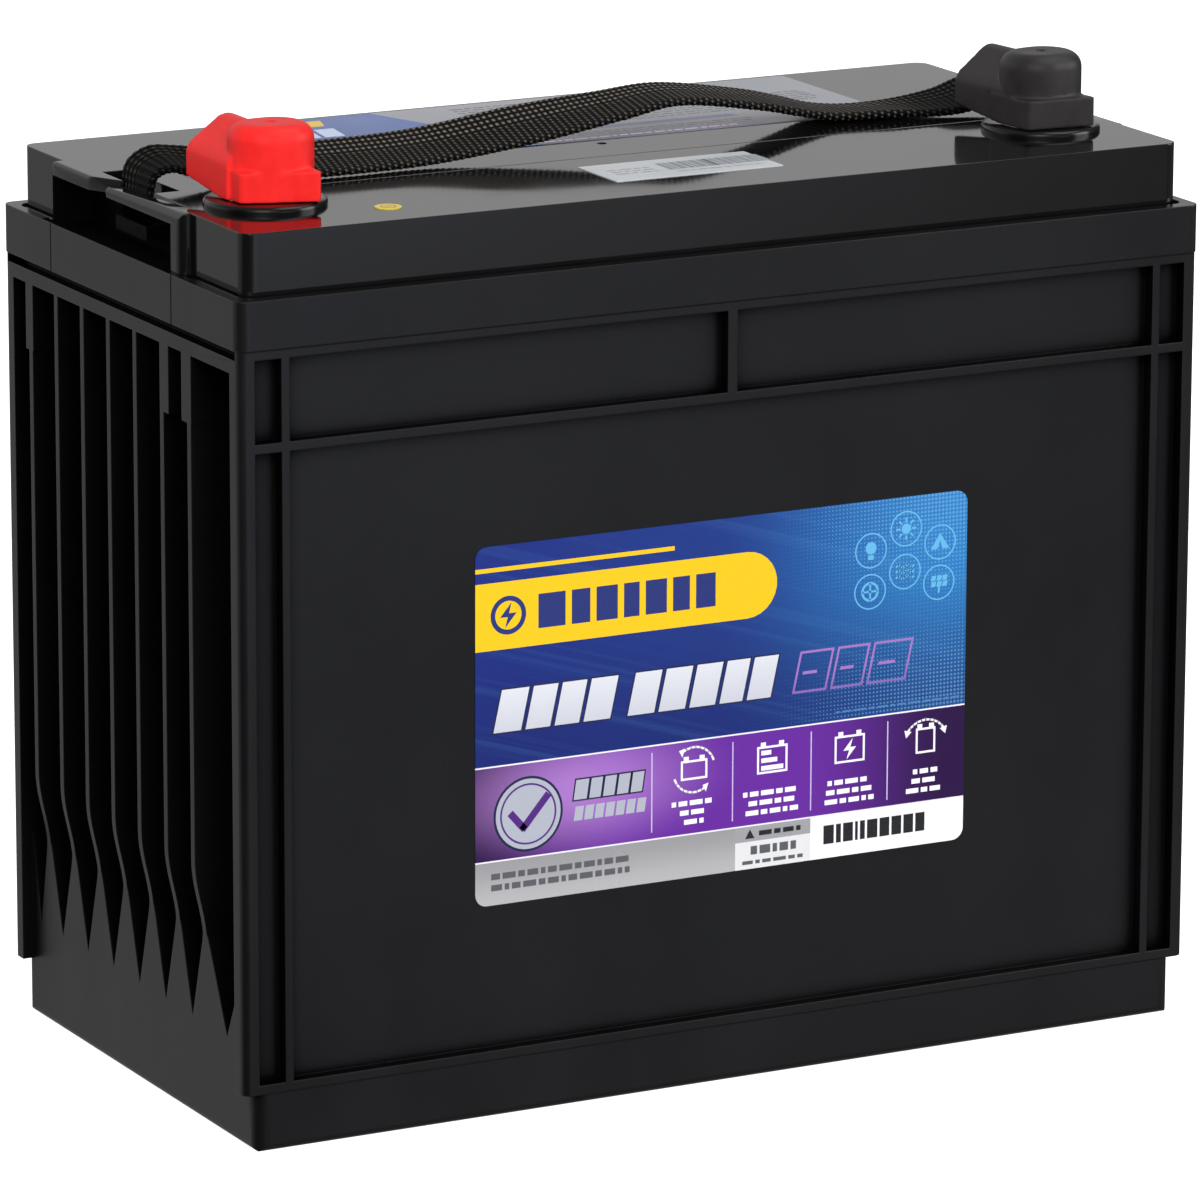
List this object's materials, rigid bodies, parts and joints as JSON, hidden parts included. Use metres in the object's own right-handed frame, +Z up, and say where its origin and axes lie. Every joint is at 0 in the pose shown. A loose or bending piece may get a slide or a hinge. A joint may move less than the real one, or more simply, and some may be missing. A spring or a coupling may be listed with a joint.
{
  "type": "deep cycle battery",
  "caption": "Sealed deep cycle lead-acid battery block in a ribbed black case, with bolt terminals under red and black push-on boots, a braided carry strap and printed labels.",
  "frame": {"origin": "centre of the case floor, on the surface the battery stands on", "axes": "+X along the length, from the positive towards the negative terminal; +Y to the back, away from the terminals; +Z up"},
  "size_m": [0.341, 0.177, 0.3147],
  "materials": {
    "case_plastic": "satin",
    "lid_plastic": "gloss",
    "red_boot_rubber": "satin",
    "black_boot_rubber": "satin",
    "valve_rubber": "matte",
    "seal_rubber": "matte",
    "lead": "matte",
    "lead_dioxide_plate": "matte",
    "glass_mat": "matte",
    "terminal_brass": "satin",
    "plated_steel": "satin",
    "strap_webbing": "matte",
    "stop_plastic": "satin",
    "front_print": "gloss",
    "plain_print": "gloss",
    "dot_print": "gloss"
  },
  "bodies": {
    "case": {"container": "case_plastic", "lid": "lid_plastic", "vent_cover": "lid_plastic", "positive_plates": "lead_dioxide_plate", "negative_plates": "lead", "separators": "glass_mat", "positive_plate_straps": "lead", "negative_plate_straps": "lead", "intercell_links": "lead", "positive_terminal": "terminal_brass", "negative_terminal": "terminal_brass", "terminal_seals": "seal_rubber", "positive_collar": "lid_plastic", "negative_collar": "lid_plastic", "left_strap_end": "strap_webbing", "right_strap_end": "strap_webbing", "left_strap_stop": "stop_plastic", "right_strap_stop": "stop_plastic", "front_label": "front_print", "rear_label": "plain_print", "top_label": "plain_print", "barcode_label": "plain_print", "date_dot": "dot_print"},
    "handle": {"handle_strap": "strap_webbing"},
    "positive_boot_cap": {"positive_boot": "red_boot_rubber"},
    "positive_washers": {"positive_flat_washer": "plated_steel", "positive_spring_washer": "plated_steel"},
    "positive_screw": {"positive_bolt": "plated_steel"},
    "negative_boot_cap": {"negative_boot": "black_boot_rubber"},
    "negative_washers": {"negative_flat_washer": "plated_steel", "negative_spring_washer": "plated_steel"},
    "negative_screw": {"negative_bolt": "plated_steel"},
    "valve_1": {"valve_cap_1": "valve_rubber"},
    "valve_2": {"valve_cap_2": "valve_rubber"},
    "valve_3": {"valve_cap_3": "valve_rubber"},
    "valve_4": {"valve_cap_4": "valve_rubber"},
    "valve_5": {"valve_cap_5": "valve_rubber"},
    "valve_6": {"valve_cap_6": "valve_rubber"}
  },
  "joints": [
    {"name": "handle_lift", "type": "slide", "parent": "case", "child": "handle", "axis": [0, 0, 1], "range_m": [0, 0.026]},
    {"name": "positive_boot_pull", "type": "slide", "parent": "case", "child": "positive_boot_cap", "axis": [0, 0, 1], "range_m": [0, 0.035]},
    {"name": "positive_bolt_rise", "type": "slide", "parent": "case", "child": "positive_washers", "axis": [0, 0, 1], "range_m": [0, 0.0088]},
    {"name": "positive_bolt_turn", "type": "hinge", "parent": "positive_washers", "child": "positive_screw", "pos_m": [-0.1385, -0.041, 0.292], "axis": [0, 0, 1], "range_deg": [0, 2520]},
    {"name": "negative_boot_pull", "type": "slide", "parent": "case", "child": "negative_boot_cap", "axis": [0, 0, 1], "range_m": [0, 0.035]},
    {"name": "negative_bolt_rise", "type": "slide", "parent": "case", "child": "negative_washers", "axis": [0, 0, 1], "range_m": [0, 0.0088]},
    {"name": "negative_bolt_turn", "type": "hinge", "parent": "negative_washers", "child": "negative_screw", "pos_m": [0.1385, -0.041, 0.292], "axis": [0, 0, 1], "range_deg": [0, 2520]},
    {"name": "valve_1_lift", "type": "slide", "parent": "case", "child": "valve_1", "axis": [0, 0, 1], "range_m": [0, 0.0008]},
    {"name": "valve_2_lift", "type": "slide", "parent": "case", "child": "valve_2", "axis": [0, 0, 1], "range_m": [0, 0.0008]},
    {"name": "valve_3_lift", "type": "slide", "parent": "case", "child": "valve_3", "axis": [0, 0, 1], "range_m": [0, 0.0008]},
    {"name": "valve_4_lift", "type": "slide", "parent": "case", "child": "valve_4", "axis": [0, 0, 1], "range_m": [0, 0.0008]},
    {"name": "valve_5_lift", "type": "slide", "parent": "case", "child": "valve_5", "axis": [0, 0, 1], "range_m": [0, 0.0008]},
    {"name": "valve_6_lift", "type": "slide", "parent": "case", "child": "valve_6", "axis": [0, 0, 1], "range_m": [0, 0.0008]}
  ],
  "couplings": [
    {"joint": "positive_bolt_rise", "follows": "positive_bolt_turn", "m_per_rad": 0.00019894},
    {"joint": "negative_bolt_rise", "follows": "negative_bolt_turn", "m_per_rad": 0.00019894}
  ]
}
